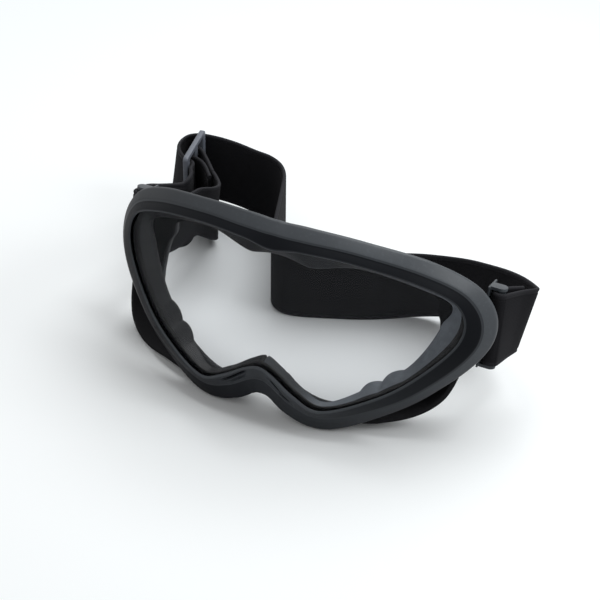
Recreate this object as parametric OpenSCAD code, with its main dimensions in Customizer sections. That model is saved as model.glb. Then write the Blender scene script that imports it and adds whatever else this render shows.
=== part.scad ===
// Ski-type safety goggles with a clear bent lens, a soft face skirt and a webbing strap,
// standing on a table. Millimetres, +Z up, -Y towards the front. Left and right are as seen from the front,
// so left is -X.

/* [Lens outline] */
// Radius of the bent lens
lens_radius = 140; // [120:1:160]
// Thickness of the lens
lens_t = 2; // [1.5:0.1:2.4]
// Half width of the lens window at the temples
window_half_w = 80.5; // [77:0.5:82]
// Height of the window's upper edge over each eye
window_brow_h = 32.6; // [30:0.2:36]
// Height of the window's upper edge at the middle
window_peak_h = 31; // [28:0.2:33]
// Depth of the window's lower edge under each eye
window_cheek_h = 39; // [37:0.2:40]
// Depth of the window's lower edge over the nose
window_nose_h = 25; // [23:0.2:28]

/* [Front rim] */
// Width of the rim under the nose arch
rim_nose_w = 16.5; // [14:0.5:17]
// Width of the rim at the cheeks
rim_cheek_w = 12.4; // [11:0.2:12.6]
// Width of the rim at the temples
rim_temple_w = 11.8; // [10:0.2:12]
// Width of the rim over the eyes
rim_brow_w = 8.8; // [7:0.2:10]
// Width of the rim at the middle of the brow
rim_peak_w = 11.2; // [9:0.2:13]
// How far the rim's front ridge lies behind the window's edge
ridge_depth = 3.5; // [2.5:0.1:4.5]
// How far the rim's widest line lies behind the window's edge
band_depth = 8; // [7:0.1:9]
// How much further forward that line lies at the temples
temple_rise = 3; // [0:0.5:4]
// Depth of the rim from front to back
rim_depth = 10.5; // [10:0.1:11.5]
// Thickness of the lip in front of the lens
lip_t = 1.4; // [1:0.1:2]
// How far the lip laps over the lens
lip_lap = 2.2; // [1.5:0.1:3]

/* [Lens seat] */
// Depth of the seat's rear edge behind the window's edge
seat_depth = 12.8; // [12:0.1:14]
// How much shallower the seat is over the nose and under the eyes
seat_nose_rise = 2.6; // [0:0.1:3]
// How much deeper the seat is at the scallops
seat_cheek_drop = 2; // [0:0.1:4]
// Inset of the seat's opening at the nose
seat_nose_w = 2; // [1:0.1:3]
// Inset of the seat's opening beside the nose and under the eyes
seat_cheek_w = 0.4; // [0.3:0.1:2]
// Inset of the seat's opening at the scallops
seat_scallop_w = 4.6; // [3:0.2:7]
// Inset of the seat's opening at the temples
seat_temple_w = 10.6; // [8:0.2:12]
// Inset of the seat's opening over the eyes
seat_brow_w = 6.2; // [5:0.2:8]
// Inset of the seat's opening in the valley beside the peak
seat_valley_w = 10.6; // [8:0.2:12]
// Height of the scallops along the seat's lower outer edge
scallop_h = 2; // [0.5:0.1:2.2]

/* [Face skirt and foams] */
// Wall of the skirt
skirt_t = 2.4; // [2:0.1:3]
// Thickness of the skirt's rear lip, which carries the foam
skirt_lip = 2; // [1.5:0.1:3]
// Depth of the skirt's rear edge at the temples and brow
skirt_depth = 24; // [22:0.5:26]
// Depth of the skirt's rear edge at the nose and cheeks
skirt_low_depth = 17; // [16:0.5:20]
// How far the skirt stands out from the window at the temples, where the brackets sit
skirt_temple_w = 2.6; // [2.6:0.1:3]
// How far the skirt stands out from the window over the nose
skirt_nose_w = 10.5; // [8:0.5:11]
// How far the skirt stands out from the window at the brow's rear edge
skirt_brow_w = -1.5; // [-3:0.5:2]
// Flare of the skirt at the lower cheeks
cheek_flare = 17.5; // [13:0.5:18]
// How much further the left cheek of the soft skirt is pressed out
cheek_push = 12; // [0:0.5:12]
// Width of the face foam at the brow
foam_w = 7; // [6:0.5:9]
// Width of the face foam at the temples
foam_temple_w = 19; // [14:0.5:20]
// Width of the face foam at the nose
foam_nose_w = 3.5; // [3:0.5:6]
// Thickness of the face foam
foam_t = 5.5; // [4:0.5:7]
// Thickness of the vent foams
vent_foam_t = 2.5; // [2:0.1:3]
// Width of a vent slot
vent_w = 3; // [2:0.1:4]

/* [Strap brackets] */
// Radius of the bar that the strap loops round
bar_r = 2; // [1.5:0.1:2.5]
// Distance of each bar behind the front of the lens beside it
bar_back = 17.9; // [17:0.1:21]
// Height of the bars' middle above the goggles' own middle
bar_lift = 1.5; // [0:0.1:2]
// Room between the skirt and a bracket's base
base_room = 0.9; // [0.5:0.1:2]
// Thickness of a bracket's base
base_t = 0.9; // [0.8:0.1:2]
// Length of a bracket's base from front to back
base_l = 10; // [9:0.5:12]
// Thickness of a bracket's ear
ear_t = 1.6; // [1.4:0.1:3]

/* [Strap and slider] */
// Width of the webbing
web_w = 38; // [36:0.5:39]
// Width of the webbing where it is gathered on a bar
loop_w = 35; // [33:0.5:38]
// Thickness of the webbing
web_t = 1.8; // [1.4:0.1:2]
// Length of the slider along the strap
slider_l = 30; // [29:0.5:32]
// Height of the slider across the strap
slider_h = 45; // [44:0.5:48]
// Thickness of the slider
slider_t = 2.6; // [2:0.1:3]
// Width of the slider's two end bars
end_bar_w = 4; // [3:0.1:4.5]
// Width of the slider's middle bar
mid_bar_w = 4.4; // [4:0.1:5]

/* [Stance] */
// Angle at which the goggles lean back
lean = 11.7; // [0:0.1:15]
// Height of the lens's middle above the table
eye_height = 53.2; // [52.5:0.1:60]
// Sideways place of the goggles' middle from the origin
stand_x = 8.12; // [0:0.1:10]
// Front to back place of the lens's front from the origin
stand_y = -68.89; // [-80:0.1:-60]

/* [Hidden] */
// Clearance between pieces that move
gap = 0.3;
// Clearance between pieces that are fitted together
fit = 0.2;
// Steps between two neighbouring knots of an outline
steps = 5;
// Steps on the lens seat, whose scallops are finer
seat_steps = 8;

// Smooth curve through knots: value at step j of n between b and c
function spline(a, b, c, d, t) =
    0.5 * (2 * b + (c - a) * t + (2 * a - 5 * b + 4 * c - d) * t * t + (3 * b - a - 3 * c + d) * t * t * t);
function ring_spline(k, n) =
    [for (i = [0:len(k) - 1], j = [0:n - 1])
        spline(k[(i + len(k) - 1) % len(k)], k[i], k[(i + 1) % len(k)], k[(i + 2) % len(k)], j / n)];
function line_spline(k, n) = concat(
    [for (i = [0:len(k) - 2], j = [0:n - 1])
        spline(k[max(i - 1, 0)], k[i], k[i + 1], k[min(i + 2, len(k) - 1)], j / n)],
    [k[len(k) - 1]]);
// Whole ring of values from half a ring, nose to brow, whose two ends lie on the middle
function both_sides(h) = concat(h, [for (i = [len(h) - 2:-1:1]) h[i]]);
function both_sides_xz(h) = concat(h, [for (i = [len(h) - 2:-1:1]) [-h[i][0], h[i][1]]]);
function unit(v) = v / norm(v);
// Outward direction of a ring that runs anticlockwise seen from the front
function ring_out(r, i, slant) =
    let (t = unit(r[(i + 1) % len(r)] - r[(i + len(r) - 1) % len(r)])) unit([slant * t[1], -t[0]]);

// Half outline of the window, from the nose round the temple to the brow
window_half = [[0, -window_nose_h], [7, -window_nose_h - 2.5], [17.5, -window_cheek_h + 4.5],
               [29, -window_cheek_h], [window_half_w - 34.5, -32], [window_half_w - 16.5, -19.5],
               [window_half_w, 1], [window_half_w - 2, 17.5], [window_half_w - 19.5, 27.3],
               [window_half_w - 44.5, window_brow_h], [14, window_brow_h + 0.4], [0, window_peak_h]];
// Widths at the same places
rim_half = [rim_nose_w, rim_nose_w - 0.8, rim_nose_w - 2, rim_cheek_w, rim_temple_w - 0.6, rim_temple_w - 0.6,
            rim_temple_w, rim_temple_w - 3.3, rim_brow_w, rim_brow_w - 0.4, rim_brow_w + 0.6, rim_peak_w];
// Share of the rim's width that its front face takes
face_half = [0.44, 0.44, 0.42, 0.38, 0.5, 0.6, 0.64, 0.55, 0.5, 0.5, 0.48, 0.58];
seat_half = [seat_nose_w, seat_nose_w / 2, seat_cheek_w, seat_cheek_w, seat_scallop_w / 2, seat_scallop_w,
             seat_temple_w, seat_brow_w, seat_brow_w, seat_brow_w, seat_valley_w, seat_brow_w];
seat_rise_half = [seat_nose_rise, seat_nose_rise, seat_nose_rise, seat_nose_rise, -seat_cheek_drop,
                  -seat_cheek_drop, 0, 0, 0, 0, 0, 0];
skirt_half = [skirt_nose_w, skirt_nose_w, skirt_nose_w - 0.5, 8.2, cheek_flare - 5, cheek_flare - 4,
              skirt_temple_w - 0.4, 0, skirt_brow_w, skirt_brow_w, skirt_brow_w, skirt_brow_w];
skirt_depth_half = [skirt_low_depth, skirt_low_depth, skirt_low_depth, skirt_low_depth, skirt_low_depth + 2,
                    skirt_low_depth + 4, skirt_depth, skirt_depth, skirt_depth, skirt_depth, skirt_depth,
                    skirt_depth];
root_half = [skirt_nose_w + 0.5, skirt_nose_w + 0.5, skirt_nose_w, 8.2, cheek_flare - 2, cheek_flare,
             skirt_temple_w, 3.4, 4, 4, 4.5, 5];
foam_half = [foam_nose_w, foam_nose_w, foam_nose_w, foam_nose_w + 1, foam_w + 1, foam_w + 4, foam_temple_w,
             foam_temple_w - 4, foam_w + 2, foam_w, foam_w, foam_w];
// Share of the press on the left cheek, and of the temples' shorter rim
push_half = [0, 0, 0, 0.1, 0.22, 1, 0, 0, 0, 0, 0, 0];
rise_half = [0, 0, 0, 0, 0.15, 0.5, 1, 0.2, 0, 0, 0, 0];
// Share of the outline's own slant that the widths follow, less in the narrow nose arch
slant_half = [0, 0.25, 0.5, 0.85, 1, 1, 1, 1, 1, 1, 1, 1];

function depth_on_lens(x) = lens_radius - sqrt(lens_radius * lens_radius - x * x);
// One station holds the window's point, the outward direction and the widths there
function stations(n) =
    let (w = ring_spline(both_sides_xz(window_half), n), r = ring_spline(both_sides(rim_half), n),
         f = ring_spline(both_sides(face_half), n), s = ring_spline(both_sides(seat_half), n),
         k = ring_spline(both_sides(skirt_half), n), d = ring_spline(both_sides(skirt_depth_half), n),
         o = ring_spline(both_sides(root_half), n), p = ring_spline(both_sides(push_half), n),
         h = ring_spline(both_sides(rise_half), n), q = ring_spline(both_sides(slant_half), n),
         u = ring_spline(both_sides(foam_half), n), v = ring_spline(both_sides(seat_rise_half), n))
    [for (i = [0:len(w) - 1])
        let (push = w[i][0] < 0 ? cheek_push * max(p[i], 0) : 0)
        [w[i], ring_out(w, i, q[i]), r[i], f[i], s[i], k[i] + push / 2, d[i], max(o[i], skirt_temple_w) + push,
         temple_rise * max(h[i], 0), u[i], seat_depth - v[i]]];
// Point of the goggles at a station, out from the window's edge and behind the lens's front
function at(s, out, back) =
    let (p = s[0] + out * s[1]) [p[0], depth_on_lens(p[0]) + back, p[1]];

// Solid through a row of alike sections; it closes on itself, or ends in flat caps
module loft(sections, closed) {
    n = len(sections);
    m = len(sections[0]);
    last = closed ? n - 1 : n - 2;
    sides = [for (i = [0:last], j = [0:m - 1])
        let (a = i * m + j, b = i * m + (j + 1) % m, c = ((i + 1) % n) * m + (j + 1) % m,
             d = ((i + 1) % n) * m + j)
        each [[a, b, c], [a, c, d]]];
    caps = closed ? [] : [[for (j = [m - 1:-1:0]) j], [for (j = [0:m - 1]) (n - 1) * m + j]];
    polyhedron(points = [for (s = sections) each s], faces = concat(sides, caps));
}

// Leans and lifts the goggles from their own upright frame to where they stand
module stand() {
    translate([stand_x, stand_y, eye_height]) rotate([-lean, 0, 0]) children();
}
function stood(p) =
    [p[0], cos(lean) * p[1] + sin(lean) * p[2], eye_height - sin(lean) * p[1] + cos(lean) * p[2]];

groove_back = lip_t + fit + lens_t + fit;

module front_rim() {
    color("#3c4045") stand()
        loft([for (s = stations(steps)) [
            at(s, 0, 0.5), at(s, 0, lip_t), at(s, lip_lap + 0.4, lip_t), at(s, lip_lap + 0.4, rim_depth),
            at(s, s[2] - 1.2, rim_depth), at(s, s[2], band_depth + 0.8 - s[8]),
            at(s, s[2] - 0.2, band_depth - 0.6 - s[8]), at(s, s[2] * s[3] + 0.9, ridge_depth + 0.5 - s[8] / 2),
            at(s, s[2] * s[3] - 0.6, ridge_depth - 0.8 - s[8] / 2),
            at(s, 1, 0)]], true);
}

module lens() {
    outline = [for (s = stations(steps)) s[0] + lip_lap * s[1]];
    color("#dfe6ea", 0.35) stand() intersection() {
        translate([0, lens_radius, 0]) rotate([90, 0, 0]) linear_extrude(2 * lens_radius) polygon(outline);
        difference() {
            translate([0, lens_radius + lip_t + fit, -2 * window_cheek_h])
                cylinder(r = lens_radius, h = 4 * window_cheek_h, $fn = 180);
            translate([0, lens_radius + lip_t + fit + lens_t, -3 * window_cheek_h])
                cylinder(r = lens_radius, h = 6 * window_cheek_h, $fn = 180);
        }
    }
}

// Scallops of the seat: two bumps on the stretch under each temple
SCALLOP_KNOT = 3.8;
function bumps(t) = scallop_h * pow(sin(2 * 180 * t), 2);
function scallop(i, n) =
    let (t = min(i / n, 2 * len(window_half) - 2 - i / n) - SCALLOP_KNOT)
    t > 0 && t < 1 ? bumps(t) : 0;

module lens_seat() {
    rows = stations(seat_steps);
    outer = lip_lap + 0.4 - fit;
    color("#1d1f22") stand()
        loft([for (i = [0:len(rows) - 1])
            let (s = rows[i], inset = max(s[4], 0.3) + scallop(i, seat_steps), d = s[10],
                 root = max(-0.4, 0.6 - inset)) [
                at(s, -0.1, groove_back), at(s, -0.92 * inset, d - 1.8), at(s, -inset, d - 1),
                at(s, -inset, d), at(s, root, d), at(s, root + 0.4, rim_depth), at(s, outer, rim_depth),
                at(s, outer, groove_back)]], true);
}

// The skirt's wall: where it starts, its middle and its rear edge
root_depth = rim_depth + fit;
function mid_depth(s) = (root_depth + s[6] - skirt_lip) / 2;
function mid_out(s) = s[7] + 0.4 * (s[5] - s[7]);
function wall_out(s, back) =
    let (m = mid_depth(s))
    back < m ? s[7] + (mid_out(s) - s[7]) * (back - root_depth) / (m - root_depth)
             : mid_out(s) + (s[5] - mid_out(s)) * (back - m) / (s[6] - m);

module face_skirt() {
    color("#26282b") stand()
        loft([for (s = stations(steps)) [
            at(s, s[7] - skirt_t, root_depth), at(s, mid_out(s) - skirt_t, mid_depth(s)),
            at(s, wall_out(s, s[6] - skirt_lip) - skirt_t, s[6] - skirt_lip),
            at(s, s[5] - s[9], s[6] - skirt_lip),
            at(s, s[5] - s[9], s[6]), at(s, s[5], s[6]), at(s, mid_out(s), mid_depth(s)),
            at(s, s[7], root_depth)]], true);
}

module face_foam() {
    crown = 0.4;
    color("#2c2d30") stand()
        loft([for (s = stations(steps)) let (lo = s[5] - s[9] + crown, hi = s[5] - crown, d = s[6] + 2 * fit) [
            at(s, lo, d), at(s, lo - crown, d + 0.4 * foam_t), at(s, lo + 0.8, d + 0.85 * foam_t),
            at(s, (lo + hi) / 2, d + foam_t), at(s, hi - 0.8, d + 0.85 * foam_t),
            at(s, hi + crown, d + 0.4 * foam_t), at(s, hi, d)]], true);
}

// Strip of vent foam behind the skirt's wall, from knot a to knot b of the outline
module vent_foam(a, b) {
    rows = stations(steps);
    color("#47494c") stand()
        loft([for (i = [round(a * steps):round(b * steps)])
            let (s = rows[i], m = mid_depth(s), half = min(vent_w / 2 + 1.5, m - root_depth - gap),
                 lo = m - half, hi = m + half) [
                at(s, wall_out(s, lo) - skirt_t - fit - vent_foam_t, lo),
                at(s, wall_out(s, hi) - skirt_t - fit - vent_foam_t, hi),
                at(s, wall_out(s, hi) - skirt_t - fit, hi), at(s, wall_out(s, m) - skirt_t - fit, m),
                at(s, wall_out(s, lo) - skirt_t - fit, lo)]], false);
}
brow_vent = [8.4, 13.6];
nose_vent = [1.4, 3.6];
module brow_vent_foam() { vent_foam(brow_vent[0], brow_vent[1]); }
module right_nose_vent_foam() { vent_foam(nose_vent[0], nose_vent[1]); }
module left_nose_vent_foam() {
    whole = 2 * (len(window_half) - 1);
    vent_foam(whole - nose_vent[1], whole - nose_vent[0]);
}

// Bracket of the right side, upright in the goggles' own frame. Its base stands beside the skirt, and the
// strap passes between the base and the bar.
bracket_x = window_half_w + skirt_temple_w + base_room;
bar_x = bracket_x + base_t + fit + web_t + gap + bar_r;
bar_y = depth_on_lens(bar_x) + bar_back;
ear_gap = loop_w / 2 + 0.5;
module strap_bracket() {
    ear_r = bar_r + 0.6;
    translate([bracket_x, bar_y + 6 - base_l, bar_lift - ear_gap - ear_t])
        cube([base_t, base_l, 2 * (ear_gap + ear_t)]);
    for (z = [-ear_gap - ear_t, ear_gap]) translate([0, 0, bar_lift + z]) linear_extrude(ear_t) {
        translate([bar_x, bar_y]) circle(ear_r, $fn = 64);
        translate([bracket_x, bar_y - ear_r]) square([bar_x - bracket_x, 2 * ear_r]);
    }
    translate([bar_x, bar_y, bar_lift - ear_gap - ear_t / 2])
        cylinder(r = bar_r, h = 2 * ear_gap + ear_t, $fn = 48);
}
module left_strap_bracket() { color("#3c4045") stand() mirror([1, 0, 0]) strap_bracket(); }
module right_strap_bracket() { color("#3c4045") stand() strap_bracket(); }

// Strap. Places are measured from the middle of the goggles, on the table's plan.
// Height of the webbing in the slider above the table
slot_side = (slider_h - web_w - 2) / 2;
web_lift = slot_side + 0.5;

function left_of(path, i) =
    let (a = path[max(i - 1, 0)], b = path[min(i + 1, len(path) - 1)], t = unit([b[0] - a[0], b[1] - a[1]]))
    [-t[1], t[0]];
// Webbing through rows first to last of a route. A row holds [x, y, z] of the lower edge and of the upper
// edge, and the way across the webbing comes from the whole route, so that neighbouring pieces meet flush.
module web(route, first, last) {
    mid = [for (r = route) (r[0] + r[1]) / 2];
    translate([stand_x, stand_y, 0]) loft([for (i = [first:last])
        let (o = web_t / 2 * left_of(mid, i), v = [o[0], o[1], 0])
        [route[i][0] - v, route[i][1] - v, route[i][1] + v, route[i][0] + v]], false);
}
// The same where the webbing stands upright all the way
module upright_web(route, first, last) {
    mid = [for (r = route) [(r[0][0] + r[1][0]) / 2, (r[0][1] + r[1][1]) / 2]];
    translate([stand_x, stand_y, route[first][0][2]]) linear_extrude(web_w) polygon(concat(
        [for (i = [first:last]) mid[i] + web_t / 2 * left_of(mid, i)],
        [for (i = [last:-1:first]) mid[i] - web_t / 2 * left_of(mid, i)]));
}
function row(x, y, z) = [[x, y, z], [x, y, z + web_w]];
function smooth_rows(k, n) =
    let (a = line_spline([for (r = k) r[0]], n), b = line_spline([for (r = k) r[1]], n))
    [for (i = [0:len(a) - 1]) [a[i], b[i]]];

// The loop round a bar, in the goggles' frame: side is 1 on the right and -1 on the left
wrap_r = bar_r + gap + web_t / 2;
function bar_row(side, angle) =
    let (x = side * bar_x + wrap_r * cos(angle), y = bar_y + wrap_r * sin(angle))
    [stood([x, y, bar_lift - loop_w / 2]), stood([x, y, bar_lift + loop_w / 2])];
// Row placed from a bar on the plan
function by_bar(side, low, up) = [[side * bar_x, bar_y, 0] + low, [side * bar_x, bar_y, 0] + up];

// The strap's route from its right end to its left end, as knots
web_steps = 3;
// Right end: tail on the inner side, round the bar and out to the fold
right_loop_knots = concat(
    [by_bar(1, [1.5, 7, 25.4], [6.4, 14, 59.2]), by_bar(1, [-0.5, 2.9, 25.4], [2.4, 10.4, 60])],
    [for (a = [-218:29:-15]) bar_row(1, a)],
    [by_bar(1, [4, 5, 25], [7.2, 9.8, 60])]);
// Fold at the right, and the run from it down to the table
right_knots = [by_bar(1, [5.2, 12.1, 23.5], [11.8, 15, 59.2]), by_bar(1, [4.4, 14.7, 22], [10.7, 17.8, 58.4]),
               by_bar(1, [-1.2, 23, 18.4], [2.5, 25.6, 55.4]), [[78, 82, 14.2], [82, 82.5, 51.8]],
               [[67, 90, 10.2], [70.5, 87.5, 48.4]], [[57, 96, 6.8], [60, 92, 44.8]],
               [[46, 98.5, 3.4], [48, 95, 41]], [[33, 96, 0.6], [34, 94.5, 38.4]]];
// Rear run, upright on the table
rear_path = [[20, 88.5], [10, 83], [-3, 77.5], [-16, 72.5], [-25, 71.2], [-32, 75], [-36, 83], [-42, 99],
             [-48, 116], [-53, 129], [-59, 137], [-67, 141.5]];

// Slider, upright on the table beside the left run
slider_mid = [-bar_x - 12, bar_y + 74.2];
slider_turn = 11.1;
function on_slider(p) = slider_mid + [p[0] * cos(slider_turn) - p[1] * sin(slider_turn),
                                      p[0] * sin(slider_turn) + p[1] * cos(slider_turn)];
module left_slider() {
    corner = 2;
    slot_w = (slider_l - 2 * end_bar_w - mid_bar_w) / 2;
    slot_h = slider_h - 2 * slot_side;
    color("#474b54") translate([stand_x + slider_mid[0], stand_y + slider_mid[1], 0])
        rotate([0, 0, slider_turn]) translate([-slider_t / 2, 0, 0])
        rotate([90, 0, 90]) linear_extrude(slider_t) difference() {
            union() {
                translate([-slider_l / 2 + corner, 0]) square([slider_l - 2 * corner, slider_h]);
                translate([-slider_l / 2, corner]) square([slider_l, slider_h - 2 * corner]);
                for (x = [-1, 1], y = [corner, slider_h - corner])
                    translate([x * (slider_l / 2 - corner), y]) circle(corner, $fn = 48);
            }
            for (x = [-mid_bar_w / 2 - slot_w, mid_bar_w / 2]) translate([x, slot_side]) square([slot_w, slot_h]);
        }
}

// Through the slider: round its far end, over the sewn loop and in through the near slot.
// Each knot holds its place on the slider and how far the lower edge leans outward.
weave_path = [[1.6, 16.9, 0.4], [-3, 16.6, 1.5], [-7.2, 14.2, 4], [-9.2, 9.5, 5.6], [-9.3, 4, 5], [-7.4, -1, 2.6],
              [-4.7, -4.8, 0.6], [-2.5, -6.8, 0], [0, -8.1, 0], [1.9, -9.6, 0], [2.8, -11.6, 0], [3, -15.5, 0],
              [4.6, -19.5, 0], [4.8, -25.5, 0]];
// Row of upright webbing placed from the slider's middle on the plan
function by_slider(x, y, z) = row(slider_mid[0] + x, slider_mid[1] + y, z);
weave_knots = concat(
    [by_slider(25.2, 18.8, 0), by_slider(15.2, 18.4, 0.6 * web_lift), by_slider(6.4, 17.4, web_lift)],
    [for (p = weave_path) let (a = on_slider([p[0] - p[2], p[1]]), b = on_slider([p[0], p[1]]))
        [[a[0], a[1], web_lift], [b[0], b[1], web_lift + web_w]]]);
// Left end: up to the bar, round it and back on its inner side
loop_start = on_slider([3.2, -30]);
left_loop_knots = concat(
    [row(loop_start[0], loop_start[1], web_lift), by_bar(-1, [-4, 36, 7.4], [-4, 37, 45]),
     by_bar(-1, [-4, 23, 14], [-4, 26, 51]), by_bar(-1, [-3.4, 8, 21.8], [-3.4, 13.6, 58])],
    [for (a = [180:30:360]) bar_row(-1, a)],
    [by_bar(-1, [3.2, 7, 22.6], [3.2, 11.2, 58.4])]);
// From the bar back to the sewn end
sewn_knots = [[14.3, -15.2], [10.6, -9], [7.1, -3.3], [3.7, 1.8], [0.9, 4.3], [-1.4, 4], [-2.5, 1.8],
              [-2.5, -1.8], [-1.4, -4], [0.9, -4.7], [3.8, -6], [7.2, -8.8], [10.2, -12.8], [12.2, -16.4],
              [14.4, -20.2]];
return_end = on_slider(sewn_knots[0] + [0.2, -gap]);
function by_slider_leaning(x, y, z, lean_x, lean_y, rise) =
    let (low = by_slider(x, y, z)[0]) [low, low + [lean_x, lean_y, rise]];
return_knots = [by_bar(-1, [4.6, 18.5, 18.5], [7, 20.5, 54.5]), by_bar(-1, [4.4, 30, 15.5], [11.3, 26, 50]),
                by_slider_leaning(16.4, -31.2, 13, 8.6, -8.5, 35.5),
                by_slider_leaning(17, -26, 9.8, 10.8, -6, 35.7),
                by_slider_leaning(20, -21.7, 6.2, 7, -2.5, 36.4),
                by_slider_leaning(21, -17, 3.6, 1.2, -0.3, web_w - 0.4),
                row(return_end[0], return_end[1], web_lift)];

strap_knots = [right_loop_knots, right_knots, [for (p = rear_path) row(p[0], p[1], 0)], weave_knots,
               left_loop_knots, return_knots];
strap = smooth_rows([for (k = strap_knots) each k], web_steps);
// Row at which each stretch of the strap starts
function stretch(i) = i == 0 ? 0 : stretch(i - 1) + web_steps * len(strap_knots[i - 1]);
WEB_COLOUR = "#17181a";
module right_bar_loop() { color(WEB_COLOUR) web(strap, stretch(0), stretch(1)); }
module strap_right_run() { color(WEB_COLOUR) web(strap, stretch(1), stretch(2)); }
module strap_rear_run() { color(WEB_COLOUR) upright_web(strap, stretch(2), stretch(3)); }
module strap_weave() { color(WEB_COLOUR) web(strap, stretch(3), stretch(4)); }
module left_bar_loop() { color(WEB_COLOUR) web(strap, stretch(4), stretch(5)); }
module left_return_run() { color(WEB_COLOUR) web(strap, stretch(5), len(strap) - 1); }

// Sewn loop round the slider's middle bar
sewn_rows = [for (p = line_spline(sewn_knots, web_steps)) let (q = on_slider(p)) row(q[0], q[1], web_lift)];
module left_sewn_end() { color(WEB_COLOUR) upright_web(sewn_rows, 0, len(sewn_rows) - 1); }

// Threads on a web's face: a box of stitches between rows a and b, side is 1 or -1
module stitch_box(rows, a, b, side) {
    thread_r = 0.25;
    count = 7;
    edge = 3 / web_w;
    mid = [for (r = rows) (r[0] + r[1]) / 2];
    for (i = [a, b], j = [0:count - 1]) {
        o = left_of(mid, i) * side * (web_t / 2 + 1.5 * thread_r);
        v = [o[0], o[1], 0];
        low = edge + (1 - 2 * edge) * (j + 0.15) / count;
        high = edge + (1 - 2 * edge) * (j + 0.85) / count;
        thread(rows[i][0] + low * (rows[i][1] - rows[i][0]) + v,
               rows[i][0] + high * (rows[i][1] - rows[i][0]) + v, thread_r);
    }
}
module thread(p, q, r) {
    translate([stand_x, stand_y, 0]) loft([for (c = [p, q])
        [c + [-r, -r, 0], c + [-r, r, 0], c + [r, r, 0], c + [r, -r, 0]]], false);
}
module right_loop_stitches() { color("#3a3b3d") stitch_box(strap, 1, 2, -1); }
module left_end_stitches() {
    last = len(sewn_rows) - 1;
    color("#3a3b3d") stitch_box(sewn_rows, last - 4, last - 1, -1);
}

front_rim();
lens();
lens_seat();
face_skirt();
face_foam();
brow_vent_foam();
left_nose_vent_foam();
right_nose_vent_foam();
left_strap_bracket();
right_strap_bracket();
strap_rear_run();
strap_right_run();
right_bar_loop();
right_loop_stitches();
strap_weave();
left_bar_loop();
left_return_run();
left_sewn_end();
left_end_stitches();
left_slider();
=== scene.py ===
"""Ski-type safety goggles on a pale table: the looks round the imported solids.

Sizes are in millimetres until a mesh is made, and a mesh is in metres. The goggles' own
frame has x across, y backwards from the front of the lens and z up; `Stance.placed` leans
it back and stands it on the table. Rings and routes run smoothly through knots, with a
fixed number of stations from one knot to the next.
"""
from __future__ import annotations

import logging
import math
from dataclasses import dataclass, field
from enum import Enum
from typing import Any, Callable, Sequence

import bmesh
import bpy
import numpy as np
from mathutils import Matrix, Vector, noise

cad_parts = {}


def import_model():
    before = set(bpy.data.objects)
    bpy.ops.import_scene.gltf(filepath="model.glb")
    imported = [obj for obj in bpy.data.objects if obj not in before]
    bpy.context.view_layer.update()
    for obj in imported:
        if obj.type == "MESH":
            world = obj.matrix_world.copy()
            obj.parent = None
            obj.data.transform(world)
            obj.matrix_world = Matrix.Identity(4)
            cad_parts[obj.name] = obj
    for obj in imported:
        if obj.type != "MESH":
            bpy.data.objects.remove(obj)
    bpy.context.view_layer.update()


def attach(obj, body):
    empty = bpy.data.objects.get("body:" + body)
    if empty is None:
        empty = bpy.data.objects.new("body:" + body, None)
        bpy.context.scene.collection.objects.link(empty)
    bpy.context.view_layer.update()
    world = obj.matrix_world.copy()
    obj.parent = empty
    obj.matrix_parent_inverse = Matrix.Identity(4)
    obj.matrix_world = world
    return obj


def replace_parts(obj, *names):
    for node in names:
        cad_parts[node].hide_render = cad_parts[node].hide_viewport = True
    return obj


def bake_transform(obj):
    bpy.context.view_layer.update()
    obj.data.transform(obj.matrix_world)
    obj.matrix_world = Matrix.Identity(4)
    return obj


log = logging.getLogger("goggles")
MM = 0.001
WEB_WIDTH = 38.0
Array = np.ndarray
Colour = Point = tuple[float, float, float]
Half = tuple[float, ...]
Piece = bpy.types.Object


# Curves

def catmull(a: Array, b: Array, c: Array, d: Array, t: float) -> Array:
    """Returns the smooth curve's value at share t between b and c."""
    return 0.5 * (2 * b + (c - a) * t + (2 * a - 5 * b + 4 * c - d) * t ** 2
                  + (3 * b - a - 3 * c + d) * t ** 3)


def curve(knots: Array, n: int, closed: bool) -> Array:
    """Smooth curve through knots.

    Args:
        knots: one value or point a row.
        n: stations from one knot to the next.
        closed: True where the last knot leads on to the first; else both ends are kept.

    Returns:
        The curve's value at each station.
    """
    k = np.asarray(knots, float)
    m = len(k)
    last = m if closed else m - 1
    at = [i % m if closed else min(max(i, 0), m - 1) for i in range(-1, last + 2)]
    out = [catmull(*k[at[i:i + 4]], j / n) for i in range(last) for j in range(n)]
    return np.array(out if closed else out + [k[-1]])


def unit(vectors: Array) -> Array:
    """Vectors in rows, each made 1 long."""
    return vectors / np.linalg.norm(vectors, axis=1, keepdims=True)


def gone(value: Array, full: float) -> Array:
    """How much of the way to its full size a value has gone, from 0 to 1."""
    return np.clip(value / full, 0, 1)


def rounded(profile: Sequence[tuple[Array, Array]], radius: float, steps: int) -> Array:
    """Rounds every corner of a closed section that changes along a ring.

    Args:
        profile: corners, each a pair of arrays (out, back) with one value a station.
        radius: length cut off each side of a corner, at most.
        steps: points that take a corner's place.

    Returns:
        Array of (corners x steps, stations, 2).
    """
    most = 0.42
    p = np.array([[np.asarray(a, float), np.asarray(b, float)] for a, b in profile])
    p = p.transpose(0, 2, 1)
    out = []
    for i, here in enumerate(p):
        ends = []
        for side in (p[i - 1] - here, p[(i + 1) % len(p)] - here):
            length = np.maximum(np.linalg.norm(side, axis=-1, keepdims=True), 1e-6)
            ends.append(here + side / length * np.minimum(radius, most * length))
        for t in (j / (steps - 1) for j in range(steps)):
            out.append((1 - t) ** 2 * ends[0] + 2 * t * (1 - t) * here + t ** 2 * ends[1])
    return np.array(out)


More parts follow.
